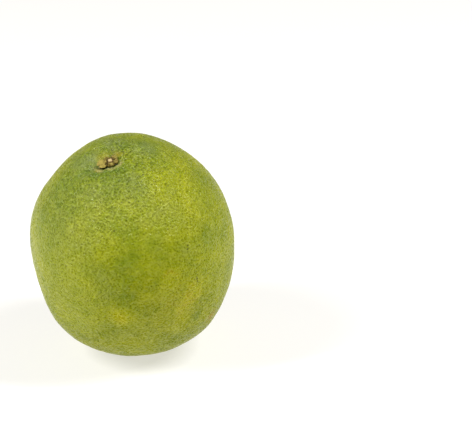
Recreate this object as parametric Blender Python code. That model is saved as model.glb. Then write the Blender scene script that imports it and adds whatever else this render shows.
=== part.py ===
"""A picked sweet lime, standing on a small flat spot with its stem end tipped to the front and left.

Three solids: the fruit, the dry calyx round the place where it hung, and the snapped end of its stalk.
The fruit is worked out upright, stem end up, and is then leaned. Lengths are in metres, +Z is up.
"""

import math
import random

import bmesh
import bpy
from mathutils import Matrix, Vector

# Driving dimensions of the fruit
GIRTH_RADIUS = 0.0344
STEM_END_REACH = 0.0401
BLOSSOM_END_REACH = 0.0415
FULLNESS = 2.12
LEAN_ANGLE = math.radians(23.8)
LEAN_TOWARDS = math.radians(-111.0)
REST_SPOT_DEPTH = 0.0008

# Broad swells and flats of the rind: polar angle from the stem end, azimuth, height and spread
SWELLS = (
    (math.radians(128), math.radians(-42), 0.0007, math.radians(20)),
    (math.radians(119), math.radians(-140), 0.0017, math.radians(26)),
    (math.radians(52), math.radians(137), -0.0020, math.radians(20)),
    (math.radians(81), math.radians(16), 0.0011, math.radians(24)),
    (math.radians(100), math.radians(95), 0.0008, math.radians(28)),
)
SEGMENTS_INSIDE = 10
RIB_HEIGHT = 0.00018
FIRST_RIB_AT = math.radians(-3.4)

# Stem end: a shallow basin, a low collar round it, and furrows running out over the collar
BASIN_DEPTH = 0.0011
BASIN_WIDTH = 0.0055
COLLAR_HEIGHT = 0.0004
COLLAR_RADIUS = 0.0105
COLLAR_WIDTH = 0.0038
FURROWS = 11
FURROW_DEPTH = 0.00055
FURROW_RADIUS = 0.0078
FURROW_WIDTH = 0.0036
FURROW_WANDER = math.radians(4.0)
FURROW_UNEVENNESS = 0.3

# Blossom end: a low nipple inside a ring groove, with the pit that the style left
NIPPLE_HEIGHT = 0.0007
NIPPLE_RADIUS = 0.0034
RING_DEPTH = 0.00045
RING_RADIUS = 0.0056
RING_WIDTH = 0.0013
STYLE_PIT_DEPTH = 0.0006
STYLE_PIT_RADIUS = 0.0011

# Pitted rind, its oil glands larger than life, each as deep as a share of its face's edges
RIND_COLUMNS = 64
RIND_ROWS = 44
ROW_CROWDING = 0.35
PITTED_FROM = math.radians(20)
PITTED_TO = math.radians(162)
PIT_DEPTHS = (0.06, 0.11)
PEBBLE_HEIGHT = 0.00006
SCATTER_ANGLE = math.radians(0.9)
RIND_SEED = 7

# Button at the stem end: the calyx and the stalk's snapped end, standing in a socket of the fruit
GAP = 0.0003
SOCKET_DEPTH = 0.0022
STALK_RADIUS = 0.0009
STALK_HEIGHT = 0.0005
STALK_SIDES = 18
STALK_BREAK = 0.00022
STALK_TOP_SHARES = (0.80, 0.95)
STALK_SEED = 3
CALYX_RADIUS = 0.0021
CALYX_THICKNESS = 0.0008
CALYX_SIDES = 60
CALYX_RINGS = 14
CUP_RIM_HEIGHT = 0.0003
CUP_RIM_RADIUS = 0.0015
CUP_RIM_WIDTH = 0.0006

# The calyx's five sepals: middle and half width in degrees, reach past its disc, how high the edge
# stands off, how much higher it stands on its later side, and how blunt the lobe is, where 0 is square
SEPALS = (
    (198, 40, 0.0026, 0.00025, 0.9, 0.30),
    (270, 36, 0.0002, 0.00015, 0.0, 0.60),
    (350, 38, 0.0007, 0.00020, 0.0, 0.60),
    (62, 36, 0.0010, 0.00010, 0.0, 0.60),
    (131, 34, 0.0007, 0.00000, 0.0, 0.70),
)

# Finishes: base colour, roughness, metallic
RIND_LOOK = ((0.262, 0.300, 0.040), 0.42, 0.0)
CALYX_LOOK = ((0.300, 0.220, 0.075), 0.75, 0.0)
STALK_LOOK = ((0.420, 0.320, 0.150), 0.80, 0.0)


def clear_scene():
    """Starts from an empty file."""
    for thing in list(bpy.data.objects):
        bpy.data.objects.remove(thing)


def direction_of(polar, azimuth):
    """The unit vector at an angle from the stem end and an azimuth round it."""
    return Vector(
        (
            math.sin(polar) * math.cos(azimuth),
            math.sin(polar) * math.sin(azimuth),
            math.cos(polar),
        )
    )


def hump(distance, width):
    """A bell curve, 1 at no distance."""
    return math.exp(-((distance / width) ** 2))


def stem_end_relief(off_axis, azimuth, furrowed):
    """Basin, collar and furrows, at a distance from the stem axis."""
    height = -BASIN_DEPTH * hump(off_axis, BASIN_WIDTH)
    height += COLLAR_HEIGHT * hump(off_axis - COLLAR_RADIUS, COLLAR_WIDTH)
    if furrowed:
        wander = FURROW_WANDER * (math.sin(azimuth) + math.sin(3 * azimuth))
        groove = math.cos(0.5 * FURROWS * (azimuth + wander)) ** 4
        deeper = 1 + FURROW_UNEVENNESS * math.sin(4 * azimuth)
        height -= FURROW_DEPTH * groove * deeper * hump(off_axis - FURROW_RADIUS, FURROW_WIDTH)
    return height


def blossom_end_relief(off_axis):
    """Nipple, ring groove and style pit, at a distance from the axis."""
    return (
        NIPPLE_HEIGHT * hump(off_axis, NIPPLE_RADIUS)
        - RING_DEPTH * hump(off_axis - RING_RADIUS, RING_WIDTH)
        - STYLE_PIT_DEPTH * hump(off_axis, STYLE_PIT_RADIUS)
    )


def rind_point(polar, azimuth, furrowed=True):
    """A point of the upright fruit's rind: a full ellipse turned round the stem axis, with relief."""
    toward = direction_of(polar, azimuth)
    across = math.sin(polar)
    along = math.cos(polar)
    reach = STEM_END_REACH if along > 0 else BLOSSOM_END_REACH
    radius = (
        (across / GIRTH_RADIUS) ** FULLNESS + (abs(along) / reach) ** FULLNESS
    ) ** (-1 / FULLNESS)
    for swell_polar, swell_azimuth, height, spread in SWELLS:
        centre = direction_of(swell_polar, swell_azimuth)
        radius += height * hump(toward.angle(centre), spread)
    radius += RIB_HEIGHT * across**2 * math.cos(SEGMENTS_INSIDE * (azimuth - FIRST_RIB_AT))
    off_axis = radius * across
    if along > 0:
        radius += stem_end_relief(off_axis, azimuth, furrowed)
    else:
        radius += blossom_end_relief(off_axis)
    return toward * radius


def basin_height(off_axis, azimuth):
    """How high the rind stands on the upright fruit, near the stem axis, without its furrows."""
    polar = math.asin(min(1.0, off_axis / STEM_END_REACH))
    return rind_point(polar, azimuth, furrowed=False).z


def crowded(share):
    """Polar angle of a row of the rind's grid, with the rows closer together at both ends."""
    return math.pi * share - 0.5 * ROW_CROWDING * math.sin(2 * math.pi * share)


def rind_mesh():
    """A sphere moved out to the rind, its rows crowded to its ends and each turned by half a column.
    Between the ends its corners are a little off their places, high or low, as pebbled rind is."""
    draw = random.Random(RIND_SEED)
    mesh = bmesh.new()
    bmesh.ops.create_uvsphere(
        mesh, u_segments=RIND_COLUMNS, v_segments=RIND_ROWS, radius=1.0
    )
    half_column = math.pi / RIND_COLUMNS
    for vertex in mesh.verts:
        share = math.acos(max(-1.0, min(1.0, vertex.co.z))) / math.pi
        row = round(share * RIND_ROWS)
        polar = crowded(share)
        azimuth = math.atan2(vertex.co.y, vertex.co.x) + row * half_column
        pebble = 0.0
        if PITTED_FROM < polar < PITTED_TO:
            polar += draw.uniform(-SCATTER_ANGLE, SCATTER_ANGLE)
            azimuth += draw.uniform(-SCATTER_ANGLE, SCATTER_ANGLE)
            pebble = draw.uniform(-PEBBLE_HEIGHT, PEBBLE_HEIGHT)
        vertex.co = rind_point(polar, azimuth) + pebble * direction_of(polar, azimuth)
    return mesh


def pit_the_rind(mesh, upright):
    """Pokes each face in at its middle, as a gland, but not at the ends or round the rest spot."""
    draw = random.Random(RIND_SEED)
    glands = {depth: [] for depth in PIT_DEPTHS}
    for face in mesh.faces:
        polar = (upright @ face.calc_center_median()).angle(Vector((0.0, 0.0, 1.0)))
        lowest = min(vertex.co.z for vertex in face.verts)
        if len(face.verts) == 4 and PITTED_FROM < polar < PITTED_TO and lowest > GAP:
            glands[draw.choice(PIT_DEPTHS)].append(face)
    for depth, faces in glands.items():
        bmesh.ops.poke(mesh, faces=faces, offset=-depth, use_relative_offset=True)
    bmesh.ops.triangulate(mesh, faces=[face for face in mesh.faces if len(face.verts) == 4])


def leaning():
    """The turn that tips the stem axis from upright to where it points at rest."""
    axis = Vector((-math.sin(LEAN_TOWARDS), math.cos(LEAN_TOWARDS), 0.0))
    return Matrix.Rotation(LEAN_ANGLE, 4, axis)


def flatten_rest_spot(mesh):
    """Cuts the lowest part of the leaned fruit off level, and closes the cut with one flat face.
    Gives the height of the cut."""
    level = min(vertex.co.z for vertex in mesh.verts) + REST_SPOT_DEPTH
    cut = bmesh.ops.bisect_plane(
        mesh,
        geom=mesh.verts[:] + mesh.edges[:] + mesh.faces[:],
        dist=1e-7,
        plane_co=(0.0, 0.0, level),
        plane_no=(0.0, 0.0, -1.0),
        clear_outer=True,
    )
    rim = [item for item in cut["geom_cut"] if isinstance(item, bmesh.types.BMEdge)]
    bmesh.ops.contextual_create(mesh, geom=rim)
    bmesh.ops.recalc_face_normals(mesh, faces=mesh.faces)
    return level


def standing_place(mesh, level):
    """The shift that brings the rest spot to z = 0 and the middle of the fruit's box over the origin."""
    xs = [vertex.co.x for vertex in mesh.verts]
    ys = [vertex.co.y for vertex in mesh.verts]
    return Matrix.Translation(
        (-(min(xs) + max(xs)) / 2, -(min(ys) + max(ys)) / 2, -level)
    )


def sepal_shape(azimuth):
    """(reach beyond the calyx's disc, lift of the edge) of the five sepals at an azimuth."""
    reach = lift = 0.0
    for middle, half_width, length, height, tilt, bluntness in SEPALS:
        off = (azimuth - math.radians(middle) + math.pi) % (2 * math.pi) - math.pi
        off = max(-1.0, min(1.0, off / math.radians(half_width)))
        share = math.cos(0.5 * math.pi * off) ** bluntness
        reach += length * share
        lift += height * share * (1 + tilt * off)
    return reach, lift


def calyx_mesh():
    """A sphere flattened to a lobed disc with a blunt edge, lying in the basin a gap above the rind.
    Its lobes' edges are lifted, and a low rim rises round the stalk."""
    mesh = bmesh.new()
    bmesh.ops.create_uvsphere(
        mesh, u_segments=CALYX_SIDES, v_segments=CALYX_RINGS, radius=1.0
    )
    for vertex in mesh.verts:
        azimuth = math.atan2(vertex.co.y, vertex.co.x)
        share = min(1.0, math.hypot(vertex.co.x, vertex.co.y))
        reach, lift = sepal_shape(azimuth)
        off_axis = share * (CALYX_RADIUS + reach)
        underside = basin_height(off_axis, azimuth) + GAP + lift * share**4
        rim = CUP_RIM_HEIGHT * hump(off_axis - CUP_RIM_RADIUS, CUP_RIM_WIDTH)
        through = 0.5 + math.copysign(0.5 * math.sqrt(abs(vertex.co.z)), vertex.co.z)
        vertex.co.x = off_axis * math.cos(azimuth)
        vertex.co.y = off_axis * math.sin(azimuth)
        vertex.co.z = underside + through * (CALYX_THICKNESS + rim)
    return mesh


def stalk_mesh():
    """A short round rod that stands in the socket, its snapped top uneven and a little narrower."""
    draw = random.Random(STALK_SEED)
    mesh = bmesh.new()
    bottom = basin_height(0.0, 0.0) - SOCKET_DEPTH + GAP
    top = basin_height(0.0, 0.0) + GAP + CALYX_THICKNESS + STALK_HEIGHT
    height = top - bottom
    bmesh.ops.create_cone(
        mesh,
        cap_ends=True,
        cap_tris=True,
        segments=STALK_SIDES,
        radius1=STALK_RADIUS,
        radius2=STALK_RADIUS,
        depth=height,
    )
    for vertex in mesh.verts:
        if vertex.co.z > 0:
            vertex.co.z += draw.uniform(-STALK_BREAK, STALK_BREAK)
            vertex.co.xy *= draw.uniform(*STALK_TOP_SHARES)
    bmesh.ops.translate(mesh, verts=mesh.verts, vec=(0.0, 0.0, bottom + height / 2))
    return mesh


def part_object(name, mesh, look, collection):
    """One named object with its own material, from a finished bmesh."""
    data = bpy.data.meshes.new(name)
    mesh.to_mesh(data)
    mesh.free()
    data.shade_smooth()
    colour, roughness, metallic = look
    material = bpy.data.materials.new(name)
    material.use_nodes = True
    shader = material.node_tree.nodes["Principled BSDF"]
    shader.inputs["Base Color"].default_value = (*colour, 1.0)
    shader.inputs["Roughness"].default_value = roughness
    shader.inputs["Metallic"].default_value = metallic
    data.materials.append(material)
    thing = bpy.data.objects.new(name, data)
    collection.objects.link(thing)
    return thing


def drill(name, radius, bottom, top, place, collection):
    """A round cutter along the stem axis, between two heights of the upright fruit."""
    mesh = bmesh.new()
    bmesh.ops.create_cone(
        mesh,
        cap_ends=True,
        segments=STALK_SIDES,
        radius1=radius,
        radius2=radius,
        depth=top - bottom,
        matrix=place @ Matrix.Translation((0.0, 0.0, (top + bottom) / 2)),
    )
    data = bpy.data.meshes.new(name)
    mesh.to_mesh(data)
    mesh.free()
    thing = bpy.data.objects.new(name, data)
    thing.hide_render = True
    thing.display_type = "WIRE"
    collection.objects.link(thing)
    return thing


def cut(thing, cutter):
    """Takes the cutter's shape out of a thing."""
    modifier = thing.modifiers.new("socket", "BOOLEAN")
    modifier.operation = "DIFFERENCE"
    modifier.solver = "EXACT"
    modifier.object = cutter


def new_collection(name):
    collection = bpy.data.collections.new(name)
    bpy.context.scene.collection.children.link(collection)
    return collection


def main():
    clear_scene()
    parts = new_collection("sweet_lime")
    cutters = new_collection("cutters")

    rind = rind_mesh()
    rind.transform(leaning())
    level = flatten_rest_spot(rind)
    stand = standing_place(rind, level)
    rind.transform(stand)
    place = stand @ leaning()
    pit_the_rind(rind, place.inverted())
    fruit = part_object("fruit", rind, RIND_LOOK, parts)

    sepals = calyx_mesh()
    sepals.transform(place)
    calyx = part_object("calyx", sepals, CALYX_LOOK, parts)

    stalk = stalk_mesh()
    stalk.transform(place)
    part_object("stalk_stub", stalk, STALK_LOOK, parts)

    seat = basin_height(0.0, 0.0)
    hole_radius = STALK_RADIUS + GAP
    above = seat + 3 * CALYX_THICKNESS
    cut(fruit, drill("socket_cutter", hole_radius, seat - SOCKET_DEPTH, above, place, cutters))
    cut(calyx, drill("calyx_cutter", hole_radius, seat - SOCKET_DEPTH, above, place, cutters))


main()
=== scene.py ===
"""A picked sweet lime: pitted and mottled rind, a dry calyx and the snapped end of a stalk.

The fruit is worked out upright, stem end up, and is then leaned to how it rests. Its rind is one formula,
which the calyx and the stalk read too, so that they sit on it. Lengths are in metres, +Z is up.
"""

import math

import bpy
import numpy as np
from bpy.props import FloatProperty, FloatVectorProperty, IntProperty, PointerProperty
from bpy.types import Operator, Panel, PropertyGroup
from mathutils import Matrix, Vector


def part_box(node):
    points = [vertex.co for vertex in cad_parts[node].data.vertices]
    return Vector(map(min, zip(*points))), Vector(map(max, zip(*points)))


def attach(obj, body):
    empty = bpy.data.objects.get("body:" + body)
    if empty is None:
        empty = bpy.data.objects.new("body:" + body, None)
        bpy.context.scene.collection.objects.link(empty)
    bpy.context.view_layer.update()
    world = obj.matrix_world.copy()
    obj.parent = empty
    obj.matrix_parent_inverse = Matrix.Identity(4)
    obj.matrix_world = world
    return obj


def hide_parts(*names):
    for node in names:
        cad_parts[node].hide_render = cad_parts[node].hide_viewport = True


bl_info = {
    "name": "Sweet Lime",
    "version": (1, 0, 0),
    "blender": (4, 5, 0),
    "location": "3D View > Sidebar > Sweet Lime",
    "description": "A picked sweet lime with pitted rind, a dry calyx and a snapped stalk",
    "category": "Add Mesh",
}

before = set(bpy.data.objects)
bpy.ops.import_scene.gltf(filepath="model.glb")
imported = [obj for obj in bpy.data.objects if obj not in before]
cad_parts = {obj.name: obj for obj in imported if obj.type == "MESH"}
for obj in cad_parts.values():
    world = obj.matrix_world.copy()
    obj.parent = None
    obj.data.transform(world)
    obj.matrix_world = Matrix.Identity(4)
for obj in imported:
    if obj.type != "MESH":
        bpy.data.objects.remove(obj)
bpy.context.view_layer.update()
FRUIT_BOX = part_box("fruit")

# Broad swells and flats of the rind: polar angle from the stem end, azimuth, height and spread
SWELLS = (
    (math.radians(128), math.radians(-42), 0.0007, math.radians(20)),
    (math.radians(119), math.radians(-140), 0.0017, math.radians(26)),
    (math.radians(52), math.radians(137), -0.0020, math.radians(20)),
    (math.radians(81), math.radians(16), 0.0011, math.radians(24)),
    (math.radians(100), math.radians(95), 0.0008, math.radians(28)),
)
SEGMENTS_INSIDE = 10
FIRST_RIB_AT = math.radians(-3.4)

# Furrows that run out from the stem, and the fine wrinkles between them
FURROWS = 11
FURROW_WANDER = math.radians(4.0)
FURROW_UNEVENNESS = 0.3
WRINKLES = 37
WRINKLE_BEND = 2.5
WRINKLE_TWIST = 120.0
WRINKLED_AT = 0.0065
WRINKLED_WIDTH = 0.0035
# Painted light and shade along the fine wrinkles round the stem, as streaks: where they lie, their spread,
# how strong they are away from the left side, and their strength
STREAKED_AT = 0.0082
STREAKED_WIDTH = 0.0028
STREAKED_ELSEWHERE = 0.25
STREAK_STRENGTH = 0.16

# The calyx's five sepals: middle and half width in degrees, reach past its disc, how high the edge stands
# off, how much higher it stands on its later side, and how blunt the lobe is, where 0 is square
SEPALS = (
    (198, 40, 0.0026, 0.00025, 0.9, 0.30),
    (270, 36, 0.0002, 0.00015, 0.0, 0.60),
    (350, 38, 0.0007, 0.00020, 0.0, 0.60),
    (62, 36, 0.0010, 0.00010, 0.0, 0.60),
    (131, 34, 0.0007, 0.00000, 0.0, 0.70),
)

# Gap under the calyx and under the stalk
BUTTON_GAP = 0.0003

# The calyx's grid, round it and along its section; how square its section is, where 0 is a square and 1 a
# circle; and how far up the section, from -1 to 1, the top begins and is reached
CALYX_GRID = (260, 64)
SECTION_POWER = 0.6
CALYX_TOP = (0.2, 0.9)

# The calyx's crumpling: how sharp its folds are, how many creases run out and how far they wander, how
# much crinkles and creases draw it in, and how much of that the longest sepal is spared, past its root
FOLD_SHARPNESS = 3
CREASES = 13
CREASE_WANDER = 9
CRINKLE_SHARE = 0.6
CREASE_SHARE = 0.4
SMOOTH_SEPAL = 0.7
SEPAL_ROOT = 0.0018
SEPAL_SMOOTH_PAST = 0.0030

# How strong the painted shade in the calyx's folds, its notch and at its edge round the stalk is, how fresh
# its far side is and how strong the painted highlight on its crests; how wide the painted shade round the
# stalk is; and how far out it begins to be fresh and is so
DARK_STRENGTH = 0.8
FRESH_STRENGTH = 0.8
CREST_STRENGTH = 0.7
STALK_SHADE_WIDTH = 0.0003
FRESH_PAST = 0.0012
FRESH_FULLY_PAST = 0.0026

# The rim round the stalk is uneven: waves round it, their strength and where they start
STALK_RIM_EVENNESS = 0.8
STALK_RIM_WAVES = ((2, 0.4, 0.6), (5, 0.2, 1.0))

# The stalk's grid, round it and along each part of its profile, and the share of its radius at which
# both ends begin; its weak corners; its torn fibres, which stand up where the noise is over a height; and
# how far out, as a share, the skin is left on the break, fully and not at all
STALK_GRID = (72, 14)
STALK_CENTRE = 0.02
STALK_CORNERS = 6
STALK_CORNER_SIZE = 0.03
FIBRE_SIZE = 0.0005
FIBRES_OVER = 0.55
FIBRE_SHARPNESS = 3
SKIN_EDGE = (0.95, 0.70)

# The rind has a painted shadow under the calyx, and a painted highlight as a pale rim just outside it, on
# the side that faces this azimuth: cosines of the angle from it where this begins and is full, and sizes
# across the calyx's edge
SHADED_SIDE = math.radians(-80)
SHADED_PAST = -0.2
SHADED_FULLY_PAST = 0.4
UNDER_CALYX_WIDTH = 0.0005
PALE_RIM_STRENGTH = 0.8
PALE_RIM_PAST_CALYX = 0.0007
PALE_RIM_WIDTH = 0.0005

# The rind's ripeness before its patches, from 0 to 1, what +X takes off it, and where its colours change
EVEN_RIPENESS = 0.49
RIPENESS_SLOPE = 0.03
TURNING_AT = 0.35
NEARLY_RIPE_AT = 0.68

# How strongly the rind is pitted before its patches
EVEN_PITTING = 0.80

# Glands, in cells from their middles: edge and bottom of the modelled dip and of the pore, and bottom
# and edge of the shaded pit
DIP_EDGE, DIP_BOTTOM = 0.60, 0.12
PORE_EDGE, PORE_BOTTOM = 0.44, 0.12
PIT_BOTTOM, PIT_EDGE = 0.15, 0.80
PORELESS_SHARE = 0.55

# What pits, ridges and grit add to the shaded relief, its lowest and highest sums, and how near to its
# middle value the noise is on a ridge
PIT_SHARE, RIDGE_SHARE, GRIT_SHARE = 0.54, 0.22, 0.72
LOWEST_SUM, HIGHEST_SUM = 0.25, 1.15
RIDGE_WIDTH = 0.11

# The wax shines more on ridges and where the rind is pitted: what each adds to the specular level, and
# what is taken off
SHEEN_BY_HEIGHT, SHEEN_BY_PITTING, SHEEN_LESS = 0.55, 0.35, 0.39

# Where the rind is riper or greener: polar angle, azimuth and spread in degrees, and how much riper
RIPE_PATCHES = (
    (0, 0, 19, -0.40),
    (35, -154, 16, -0.29),
    (7, 20, 4, 0.25),
    (22, 20, 9, -0.16),
    (6, 140, 4, 0.25),
    (36, -10, 18, 0.06),
    (46, -6, 8, -0.10),
    (54, 3, 10, -0.12),
    (68, -27, 8, -0.12),
    (36, -41, 14, 0.10),
    # This one, a little riper, is a faint painted highlight on the left
    (30, -106, 9, 0.02),
    (90, -96, 5, 0.42),
    (100, -62, 9, 0.24),
    (88, -55, 9, 0.22),
    (74, -65, 8, 0.14),
    (60, -90, 7, -0.12),
    (74, -92, 7, -0.18),
    (109, -53, 4, -0.20),
    (54, -86, 7, -0.06),
    (96, -104, 9, -0.07),
    (28, -84, 9, -0.10),
    # This one is painted shade: greener and darker in the middle of the front, between the two lights
    (50, -76, 13, -0.10),
    (107, -74, 9, 0.08),
    (109, -95, 10, 0.05),
    (121, -68, 13, -0.06),
    (25, -62, 7, -0.12),
    (84, 62, 22, 0.30),
    (44, 96, 16, -0.20),
    (105, 140, 20, 0.25),
    (74, 172, 14, -0.25),
    (150, 20, 18, 0.30),
)

# Where the rind is pitted more or less, which strengthens its relief, its sheen and the painted shade and
# highlight of its pits: polar angle, azimuth and spread in degrees, and how much more
PITTED_PATCHES = (
    (0, 0, 42, 0.90),
    (54, -74, 20, -0.44),
    (57, -52, 9, -0.14),
    (12, 175, 8, -0.30),
    (80, -92, 10, -0.20),
    (126, -95, 14, -0.20),
    (52, -108, 12, -0.10),
)

# Where a thin grey bloom lies on the rind, and low on its left a painted reflection in the same grey: polar
# angle, azimuth and spread in degrees, and how much
GREY_PATCHES = (
    (12, 165, 8, 0.75),
    (15, 90, 6, 0.55),
    (20, 30, 9, 0.40),
    (19, -53, 6, 0.35),
    (18, -113, 6, 0.25),
    (34, -125, 14, 0.20),
    # These two, low on the left, are a painted reflection: a whitish haze
    (62, -136, 22, 0.22),
    (92, -128, 18, 0.20),
    (42, -60, 9, 0.12),
    (36, -44, 9, 0.22),
    (60, -103, 5, 0.20),
    (70, -101, 5, 0.20),
    (56, -66, 7, 0.12),
    (104, -94, 5, 0.25),
    (62, -46, 5, 0.20),
    (80, 30, 8, 0.30),
    (58, 150, 9, 0.40),
    (112, 100, 9, 0.40),
)

# Warm brown patches: polar angle, azimuth and spread in degrees, and how much
WARM_PATCHES = (
    (120, -41, 3, 1.3),
    (90, -58, 12, 0.26),
    (7, -147, 2, 0.6),
    (5, 130, 3, 0.6),
    (6, 55, 2.5, 0.5),
)

# Corners of a faint graze on the front, as polar angle and azimuth in degrees
GRAZE = ((67.6, -66.3), (65.4, -61.6), (70.6, -58.2))
GRAZE_WIDTH = 0.0005
GRAZE_STRENGTH = 0.4

# Directions to the two softboxes, and the floor, just clear of the rest spot
LEFT_LIGHT = (-0.70, -0.33, 0.64)
RIGHT_LIGHT = (0.62, -0.12, 0.74)
FLOOR_HEIGHT = -0.0001

# How much of a scar's radius its darkest core takes up, and how strong its colour is
SCAR_CORE = 0.3
SCAR_STRENGTH = 0.8

# Small dark scars: polar angle and azimuth in degrees, and radius in metres
SCARS = (
    (18.1, -30.8, 0.00045),
    (37.1, -90.4, 0.00050),
    (59.2, -44.7, 0.00045),
    (60.8, -46.0, 0.00050),
    (79.6, -47.2, 0.00045),
    (81.0, -47.4, 0.00050),
    (82.5, -47.7, 0.00050),
    (8.2, 87.0, 0.00038),
    (9.2, 87.0, 0.00034),
    (70.0, 64.0, 0.00045),
    (93.0, 121.0, 0.00040),
    (47.0, 172.0, 0.00035),
)


def linear(code):
    """An sRGB hex colour as linear red, green, blue and an alpha of 1."""
    shares = [int(code[i : i + 2], 16) / 255 for i in (1, 3, 5)]
    return (*[s / 12.92 if s <= 0.04045 else ((s + 0.055) / 1.055) ** 2.4 for s in shares], 1.0)


def length_of(name, default, description):
    """A length in metres, as a setting."""
    return FloatProperty(
        name=name, description=description, default=default, precision=5, subtype="DISTANCE", unit="LENGTH"
    )


def angle_of(name, degrees, description):
    """An angle, as a setting."""
    return FloatProperty(
        name=name, description=description, default=math.radians(degrees), subtype="ANGLE", unit="ROTATION"
    )


def colour_of(name, code, description):
    """A colour, as a setting."""
    return FloatVectorProperty(
        name=name, description=description, default=linear(code), size=4, min=0.0, max=1.0, subtype="COLOR"
    )


def number_of(name, default, description, unit="NONE"):
    """A number from 0 up, as a setting."""
    return FloatProperty(name=name, description=description, default=default, min=0.0, unit=unit)


class FruitForm(PropertyGroup):
    """Sizes of the whole fruit and of its two ends."""

    girth_radius: length_of("Girth radius", 0.0344, "Half the thickness across the stem axis")
    stem_reach: length_of("Stem reach", 0.0401, "Middle to the stem end")
    blossom_reach: length_of("Blossom reach", 0.0415, "Middle to the blossom end")
    fullness: number_of("Fullness", 2.12, "Power of the outline: 2 is an ellipse, and more is fuller")
    lean_angle: angle_of("Lean", 23.8, "How far the stem axis leans from upright")
    lean_towards: angle_of("Lean towards", -111.0, "Azimuth that the stem end leans towards")
    rib_height: length_of("Rib height", 0.00018, "Height of the broad ribs over the segments inside")
    basin_depth: length_of("Basin depth", 0.0011, "Depth of the hollow round the stem")
    basin_width: length_of("Basin width", 0.0055, "Spread of the hollow round the stem")
    collar_height: length_of("Collar height", 0.0004, "Height of the low collar round the hollow")
    collar_radius: length_of("Collar radius", 0.0105, "Radius of the collar")
    collar_width: length_of("Collar width", 0.0038, "Spread of the collar")
    furrow_depth: length_of("Furrow depth", 0.00055, "Depth of the furrows that run out from the stem")
    furrow_radius: length_of("Furrow radius", 0.0078, "Where the furrows are deepest")
    furrow_width: length_of("Furrow width", 0.0036, "Spread of the furrows from there")
    wrinkle_depth: length_of("Wrinkle depth", 0.00013, "Depth of the fine wrinkles between the furrows")
    nipple_height: length_of("Nipple height", 0.0007, "Height of the low nipple at the blossom end")
    nipple_radius: length_of("Nipple radius", 0.0034, "Spread of the nipple")
    ring_depth: length_of("Ring depth", 0.00045, "Depth of the ring groove round the nipple")
    ring_radius: length_of("Ring radius", 0.0056, "Radius of the ring groove")
    ring_width: length_of("Ring width", 0.0013, "Spread of the ring groove")
    style_pit_depth: length_of("Style pit depth", 0.0006, "Depth of the pit that the style left")
    style_pit_radius: length_of("Style pit radius", 0.0011, "Spread of that pit")
    socket_radius: length_of("Socket radius", 0.0012, "Radius of the hole that the stalk stands in")
    socket_depth: length_of("Socket depth", 0.0022, "Depth of that hole")
    socket_edge: length_of("Socket edge", 0.0004, "Width of the rounded edge of that hole")


class RindFinish(PropertyGroup):
    """Oil glands and colours of the rind."""

    cuts: IntProperty(name="Cuts", description="Quads along an edge of the rind's grid", default=128, min=8)
    gland_spacing: length_of("Gland spacing", 0.00078, "Size of one oil gland's cell")
    gland_scatter: number_of("Gland scatter", 1.0, "0 sets the glands in rows, 1 scatters them")
    gland_depth: length_of("Gland depth", 0.00012, "How deep the rind dips over a gland")
    gland_wander: length_of("Gland wander", 0.00036, "How far the cells are bent out of true")
    pebble_size: length_of("Pebble size", 0.0032, "Size of the unevenness between glands")
    pebble_height: length_of("Pebble height", 0.00010, "Height of the unevenness between glands")
    wave_size: length_of("Wave size", 0.014, "Size of the broad unevenness")
    wave_height: length_of("Wave height", 0.00022, "Height of the broad unevenness")
    pitted_from: length_of("Pitted from", 0.004, "Distance from the axis where the glands begin")
    pitted_fully: length_of("Pitted fully", 0.011, "Distance from the axis where they are all there")
    patch_size: length_of("Patch size", 0.008, "Size of the broad mottling")
    patch_strength: number_of("Patch strength", 0.60, "How much the broad mottling changes the ripeness")
    fleck_size: length_of("Fleck size", 0.0025, "Size of the small mottling")
    fleck_strength: number_of("Fleck strength", 0.50, "How much the small mottling changes the ripeness")
    ridge_size: length_of("Ridge size", 0.0013, "Spacing of the thin worm-like ridges")
    grit_size: length_of("Grit size", 0.0006, "Size of the finest unevenness")
    # The grain and the pore paint the relief into the colour: partly the glands' own colour, partly painted
    # shade in the pits and painted highlight on the ridges
    grain: number_of("Grain", 0.55, "How much paler the ridges are than the glands")
    pore: number_of("Pore", 0.34, "How much darker the deepest pores are")
    veil: number_of("Veil", 0.09, "How much grey bloom lies all over, in flecks")
    relief: length_of("Relief", 0.00036, "Height that the fine relief shades as")
    deep_green: colour_of("Deep green", "#5c721b", "Greenest rind")
    mid_green: colour_of("Mid green", "#808a0e", "Turning rind")
    yellow_green: colour_of("Yellow green", "#9da00c", "Nearly ripe rind")
    yellow: colour_of("Yellow", "#aeaa0c", "Ripest rind")
    # Also the colour of the painted reflection low on the left
    bloom: colour_of("Bloom", "#7a8754", "Thin grey bloom")
    scar: colour_of("Scar", "#3c3d14", "Small healed scars")
    warm: colour_of("Warm", "#9e821c", "Warm brown patches")
    # Painted shadow on the rind under the calyx
    under: colour_of("Under the calyx", "#292410", "Rind under the calyx")
    # Painted highlight on the rind just outside the calyx
    rim: colour_of("Rim", "#b3aa66", "Pale rind just outside the calyx")


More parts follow.
